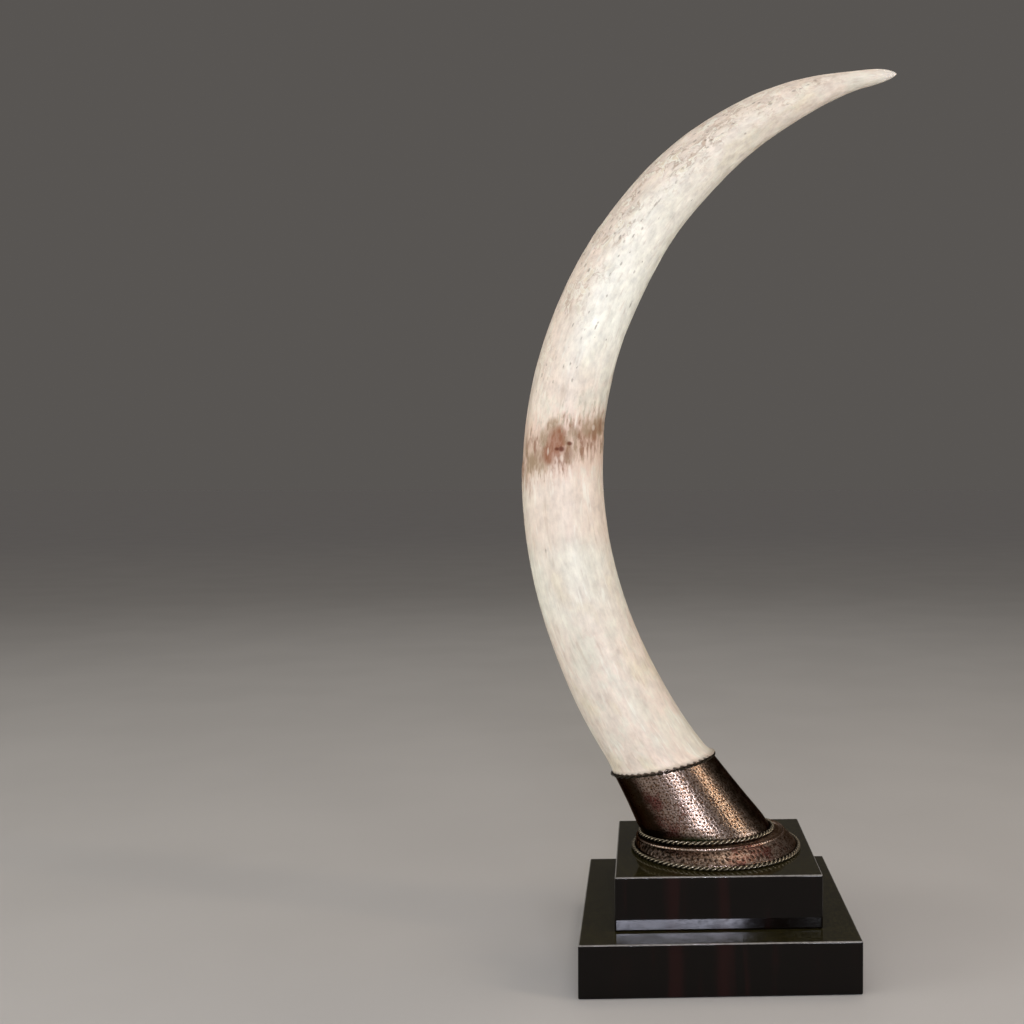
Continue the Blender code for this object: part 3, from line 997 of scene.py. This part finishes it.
def sleeve_shade_and_patina(angle, share):
    """Painted shade on the left and right sides, standing in for dark reflections, and red and green
    patina of the sleeve's outside; share is 0 at the rim and 1 at the foot.
    """
    side = np.cos(angle)
    shade_and_blotches = ramp(side, -0.36, -0.74) + 0.70 * ramp(side, 0.46, 0.86)
    red = one_side(angle, -130.0, 8.0) * ramp(share, -0.35, 0.65)
    near_foot = np.exp(-(((share - 0.80) / 0.14) ** 2))
    red = np.maximum(red, 0.85 * one_side(angle, -110.0, 25.0) * near_foot)
    green = one_side(angle, -104.0, 30.0) * ramp(share, 0.90, 0.96)
    return shade_and_blotches, red, green


def make_collar_sleeve():
    """The sleeve: hammered outside, smooth inside, and open at both ends."""
    shares = [1.0 - ring / (SLEEVE_RINGS - 1) for ring in range(SLEEVE_RINGS)]
    outer = [laid_flat(sleeve_section(1.0), BLOCKS_TOP + GAP)]
    outer += [sleeve_section(share) for share in shares]
    inner = [grown(sleeve_section(share), -SLEEVE_WALL) for share in INSIDE_SHARES]
    inner.append(laid_flat(inner[-1], BLOCKS_TOP + GAP))
    outer_points = section_points(outer, COLLAR_SIDES)
    inner_points = section_points(inner, COLLAR_SIDES)
    angle = ring_angles(len(outer), COLLAR_SIDES)
    share = np.repeat(np.array([1.0] + shares)[:, None], COLLAR_SIDES, axis=1)
    columns = angle / (2.0 * np.pi) * SLEEVE_COLUMNS
    dent = hammer_marks(columns, (1.0 - share) * SLEEVE_ROWS, SLEEVE_COLUMNS, SLEEVE_SEED)
    strength = 0.80 + 0.20 * ripple(outer_points, wavelength=0.03, waves=16, seed=18)
    clear_of_ends = ramp(share, 1.0, 0.96) * ramp(share, 0.0, 0.03)
    height = HAMMER_DEPTH * strength * (DENT_LEVEL - dent) * clear_of_ends
    shade_and_blotches, red, green = sleeve_shade_and_patina(angle, share)
    # The inside is painted fully dark, as shade
    zeros = np.zeros((len(inner), COLLAR_SIDES))
    points = np.concatenate([raised(outer_points, height), inner_points])
    values = {
        "dent": np.concatenate([dent, zeros]),
        "painted_shade_and_blotches": np.concatenate([shade_and_blotches, zeros + 1.0]),
        "red": np.concatenate([red, zeros]),
        "green": np.concatenate([green, zeros]),
        "place": points,
    }
    return make_shell("hammered_collar", points, values)


def ring_sections():
    """Sections of the base ring, from its foot up and over: edge, band, bead and inside."""
    wall = Section(RING_X, 0.0, RING_WALL_TOP, 0.0, RING_HALF, RING_HALF)
    round_edge = grown(wall, -0.0001)._replace(z=RING_WALL_TOP + 0.0001)
    edge = [laid_flat(wall, BLOCKS_TOP + GAP), wall, round_edge]
    bead_foot = bead_point(1.2, 2.2)
    band = []
    for share in [0.02] + spread(0.02, 0.98, BAND_RINGS):
        section = mix_sections(wall, bead_foot, share)
        band.append(section._replace(z=section.z + BAND_CROWN * math.sin(math.pi * share)))
    bead = [bead_foot]
    for lean in spread(math.pi / 2.0, -math.pi / 4.0, BEAD_RINGS):
        bead.append(bead_point(1.1 * math.sin(lean), 1.0 - math.cos(lean)))
    seat = grown(sleeve_section(1.0), GAP)._replace(z=SLEEVE_FOOT_Z - FOOT_ROPE - GAP)
    seat_edge = grown(seat, FOOT_ROPE * ROPE_STAND_OFF + SEAT_MARGIN)
    groove = bead_point(-1.4, 2.0)
    inside = [groove, mix_sections(groove, seat_edge, 0.5), seat_edge, seat]
    inside.append(laid_flat(seat, BLOCKS_TOP + GAP))
    return edge, band, bead, inside


def marked(count, first, after_last):
    """A column with 1 for the rings from first to before after_last, and 0 for the others."""
    column = np.zeros((count, 1))
    column[first:after_last] = 1.0
    return column


def make_base_ring():
    """Low ring: wall, hammered band, raised bead with notches, groove and the rope's seat."""
    edge, band, bead, inside = ring_sections()
    sections = edge + band + bead + inside
    first = len(edge)
    after = first + len(band)
    on_band = marked(len(sections), first + 1, after - 1)
    on_bead = marked(len(sections), after + 1, after + len(bead))
    row = np.zeros((len(sections), COLLAR_SIDES))
    row[first:after] = np.linspace(0.0, BAND_ROWS, len(band))[:, None]
    points = section_points(sections, COLLAR_SIDES)
    angle = ring_angles(len(sections), COLLAR_SIDES)
    columns = angle / (2.0 * np.pi) * BAND_COLUMNS
    dent = hammer_marks(columns, row, BAND_COLUMNS, BAND_SEED) * on_band
    notch = (1.0 - np.abs(np.cos(angle * BEAD_NOTCHES / 2.0))) * on_bead
    height = BAND_DENT_DEPTH * (DENT_LEVEL * on_band - dent) - NOTCH_DEPTH * notch
    points = raised(points, height)
    blotches = np.clip(ripple(points, wavelength=0.006, waves=24, seed=31), 0.0, 1.0)
    # Painted shade on the ring's -X side, and dark blotches on its band
    shade_and_blotches = 0.55 * one_side(angle, 171.0, 1.5) + 0.42 * blotches * on_band
    values = {
        "dent": dent + 0.9 * notch,
        # The wall, groove and seat are painted darker still, as shade
        "painted_shade_and_blotches": shade_and_blotches + 0.40 * (1.0 - on_band) * (1.0 - on_bead),
        "red": 0.75 * one_side(angle, -60.0, 8.0),
        "green": np.zeros(angle.shape),
        "place": points,
    }
    return make_shell("base_ring_metal", points, values)


# Ropes

STRAND_SHARE = 0.54

# Swing is how far a strand keeps from the rope's middle, as a share of the rope's half
# thickness, and bright is how light the strands and their crests are
Rope = namedtuple("Rope", "name node section half_thickness turns swing bright")


def rope_frame(section, steps):
    """Centre points of a rope's oval, with its outward and upward directions at each."""
    centre = section_points([section], steps)[0]
    up = np.array([-math.sin(section.tilt), 0.0, math.cos(section.tilt)])
    ahead = np.roll(centre, -1, axis=0) - np.roll(centre, 1, axis=0)
    out = np.cross(ahead, up)
    out /= np.linalg.norm(out, axis=1, keepdims=True)
    return centre, out, np.broadcast_to(up, out.shape)


def make_rope(rope, material):
    """Two strands twisted round each other along a closed oval."""
    steps = rope.turns * STEPS_PER_TURN
    centre, out, up = rope_frame(rope.section, steps)
    strand_half = rope.half_thickness * STRAND_SHARE
    offset = rope.half_thickness * rope.swing
    around = turn_angles(STRAND_SIDES)
    circle = np.cos(around)[None, :, None] * out[:, None, :]
    circle = circle + np.sin(around)[None, :, None] * up[:, None, :]
    quads = grid_faces(steps, STRAND_SIDES, joined_ends=True)
    strands = []
    faces = []
    for strand in range(2):
        phase = rope.turns * turn_angles(steps) + math.pi * strand
        heart = centre + offset * (np.cos(phase)[:, None] * out + np.sin(phase)[:, None] * up)
        strands.append(heart[:, None, :] + strand_half * circle)
        start = strand * steps * STRAND_SIDES
        faces += [[corner + start for corner in reversed(quad)] for quad in quads]
    points = np.concatenate(strands)
    middles = np.concatenate([centre, centre])[:, None, :]
    crest = np.linalg.norm(points - middles, axis=-1) / (strand_half + offset)
    values = {"crest": crest, "bright": np.full(crest.shape, rope.bright), "place": points}
    dress(make_mesh(rope.name, points, faces, values), material, "dark_bronze", rope.node)


def around_sleeve(share, half_thickness):
    return grown(sleeve_section(share), half_thickness * ROPE_STAND_OFF + GAP)


def make_ropes(material):
    rim = around_sleeve(RIM_ROPE_PLACE, RIM_ROPE)._replace(tilt=RIM_TILT)
    foot = around_sleeve(1.0, FOOT_ROPE)
    base_half = RING_HALF + BASE_ROPE + GAP
    base = Section(RING_X, 0.0, BLOCKS_TOP + BASE_ROPE + GAP, 0.0, base_half, base_half)
    ropes = (
        Rope("rim_rope_strands", "rim_rope", rim, RIM_ROPE, RIM_ROPE_TURNS, 0.75, 0.10),
        Rope("foot_rope_strands", "foot_rope", foot, FOOT_ROPE, FOOT_ROPE_TURNS, 0.50, 1.0),
        Rope("base_rope_strands", "base_ring_rope", base, BASE_ROPE, BASE_ROPE_TURNS, 0.46, 0.8),
    )
    for rope in ropes:
        make_rope(rope, material)


# Blocks


def make_block(name, side, bottom, top, material, node):
    """A lacquered block with softly rounded edges."""
    mesh = bmesh.new()
    bmesh.ops.create_cube(mesh, size=1.0)
    bmesh.ops.scale(mesh, vec=(side, side, top - bottom), verts=mesh.verts)
    bmesh.ops.translate(mesh, vec=(0.0, 0.0, (top + bottom) / 2.0), verts=mesh.verts)
    rounding = {"offset": BLOCK_EDGE, "segments": BLOCK_EDGE_STEPS, "profile": 0.5}
    bmesh.ops.bevel(mesh, geom=list(mesh.edges), affect="EDGES", **rounding)
    data = bpy.data.meshes.new(name)
    mesh.to_mesh(data)
    mesh.free()
    data.shade_smooth()
    piece = new_object(name, data)
    flat_faces = piece.modifiers.new("flat_faces", "WEIGHTED_NORMAL")
    flat_faces.keep_sharp = True
    dress(piece, material, "black_lacquer", node)


# Stage

FLOOR_HALF = 80.0
FLOOR_HEIGHT = -0.0004
# Painted light on the floor: a pale pool near the object, darker far off
FLOOR_LIT_POOL = (0.54, 0.525, 0.505, 1.0)
FLOOR_PAINTED_FALLOFF = (0.448, 0.436, 0.437, 1.0)
WORLD_GREY = (0.098, 0.091, 0.085, 1.0)
WORLD_OVERHEAD = (0.30, 0.285, 0.27, 1.0)

# Points that the lights are turned to
TUSK_MIDDLE = (-0.10, 0.0, 0.62)
TUSK_TOP = (0.05, 0.0, 0.90)
COLLAR = (-0.03, 0.0, 0.19)
COLLAR_FRONT = (0.0, -0.1, 0.2)
BLOCKS_MIDDLE = (-0.02, 0.0, 0.1)

Softbox = namedtuple("Softbox", "name place target width height radiance colour")

SOFTBOXES = (
    Softbox("key", (-1.3, -2.5, 1.3), TUSK_MIDDLE, 2.0, 1.4, 0.95, (1.0, 0.975, 0.91)),
    Softbox("left", (-3.0, -1.0, 0.95), TUSK_MIDDLE, 2.4, 1.5, 3.5, (1.0, 0.98, 0.93)),
    Softbox("right_high", (2.3, -0.6, 2.6), TUSK_MIDDLE, 1.6, 1.6, 0.8, (1.0, 0.98, 0.96)),
    Softbox("right_low", (2.6, -0.9, 0.36), TUSK_TOP, 1.6, 0.5, 6.0, (1.0, 0.98, 0.95)),
    Softbox("window", (-0.02, -3.0, 1.07), BLOCKS_MIDDLE, 0.56, 0.075, 220.0, (0.82, 0.83, 1.0)),
    Softbox("strip", (0.55, -3.0, 0.55), COLLAR, 0.17, 0.95, 32.0, (0.90, 0.92, 1.0)),
    Softbox("golden", (2.05, -1.05, 1.38), COLLAR, 0.12, 0.90, 24.0, (1.0, 0.80, 0.58)),
    Softbox("top", (0.5, 0.55, 2.3), COLLAR, 0.9, 0.5, 2.9, (1.0, 0.84, 0.70)),
    Softbox("overhead", (0.0, -1.3, 3.0), COLLAR_FRONT, 1.9, 1.1, 1.3, (1.0, 0.98, 0.95)),
    Softbox("back", (-0.6, 3.0, 2.9), TUSK_MIDDLE, 3.0, 1.5, 0.8, (1.0, 0.98, 0.96)),
)


def make_floor():
    """A plain pale floor with a painted pool of light: it is painted darker far off, so that it runs
    into the grey behind.
    """
    corners = [(-1, -1), (1, -1), (1, 1), (-1, 1)]
    points = np.array([(FLOOR_HALF * x, FLOOR_HALF * y, FLOOR_HEIGHT) for x, y in corners])
    floor = make_mesh("floor", points, [[0, 1, 2, 3]])
    material, shader, nodes = new_material("pale_floor")
    place = nodes.add("ShaderNodeTexCoord").outputs["Object"]
    distance = nodes.add("ShaderNodeVectorMath", {0: place}, operation="LENGTH").outputs[1]
    tone = nodes.step(nodes.noise(place, 3.0), 0.3, 0.7, 0.98, 1.02)
    colour = nodes.shade(nodes.blend(nodes.step(distance, 2.0, 13.0), FLOOR_LIT_POOL, FLOOR_PAINTED_FALLOFF), tone)
    plug(shader, Base_Color=colour, Roughness=0.9, Specular_IOR_Level=0.2)
    floor.data.materials.append(material)


def make_world():
    """Even grey round the horizon, and soft brightness overhead."""
    world = bpy.data.worlds.new("studio")
    bpy.context.scene.world = world
    world.use_nodes = True
    nodes = Nodes(world.node_tree)
    direction = nodes.add("ShaderNodeTexCoord").outputs["Generated"]
    height = nodes.parts(direction)[2]
    colour = nodes.blend(nodes.step(height, 0.35, 0.95), WORLD_GREY, WORLD_OVERHEAD)
    plug(world.node_tree.nodes["Background"], Color=colour, Strength=1.0)


def make_softbox(box):
    """A rectangular light of a given brightness, turned towards a point."""
    data = bpy.data.lights.new(box.name, "AREA")
    data.shape = "RECTANGLE"
    data.size = box.width
    data.size_y = box.height
    data.energy = box.radiance * math.pi * box.width * box.height
    data.color = box.colour
    light = new_object(box.name, data)
    light.location = box.place
    direction = Vector(box.target) - Vector(box.place)
    light.rotation_euler = direction.to_track_quat("-Z", "Y").to_euler()
    light.visible_camera = False


def make_camera():
    data = bpy.data.cameras.new("camera")
    data.sensor_width = SENSOR
    data.lens = FOCAL_PIXELS * SENSOR / IMAGE_SIDE
    data.shift_x = (IMAGE_SIDE / 2.0 - OPTICAL_CENTRE_X) / IMAGE_SIDE
    camera = new_object("camera", data)
    camera.location = CAMERA_PLACE
    camera.rotation_euler = (math.pi / 2.0 + CAMERA_PITCH, 0.0, CAMERA_YAW)
    bpy.context.scene.camera = camera


def main():
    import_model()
    make_camera()
    make_world()
    for box in SOFTBOXES:
        make_softbox(box)
    make_floor()
    copper = copper_material()
    lacquer = lacquer_material()
    dress(make_tusk(), ivory_material(), "ivory", "tusk")
    dress(make_collar_sleeve(), copper, "hammered_copper", "collar_sleeve")
    dress(make_base_ring(), copper, "hammered_copper", "base_ring")
    make_ropes(rope_material())
    make_block("lower_block_lacquer", LOWER_SIDE, 0.0, LOWER_HEIGHT, lacquer, "lower_block")
    upper_bottom = LOWER_HEIGHT + GAP
    make_block("upper_block_lacquer", UPPER_SIDE, upper_bottom, BLOCKS_TOP, lacquer, "upper_block")
    bpy.context.scene.view_settings.view_transform = "Standard"


main()
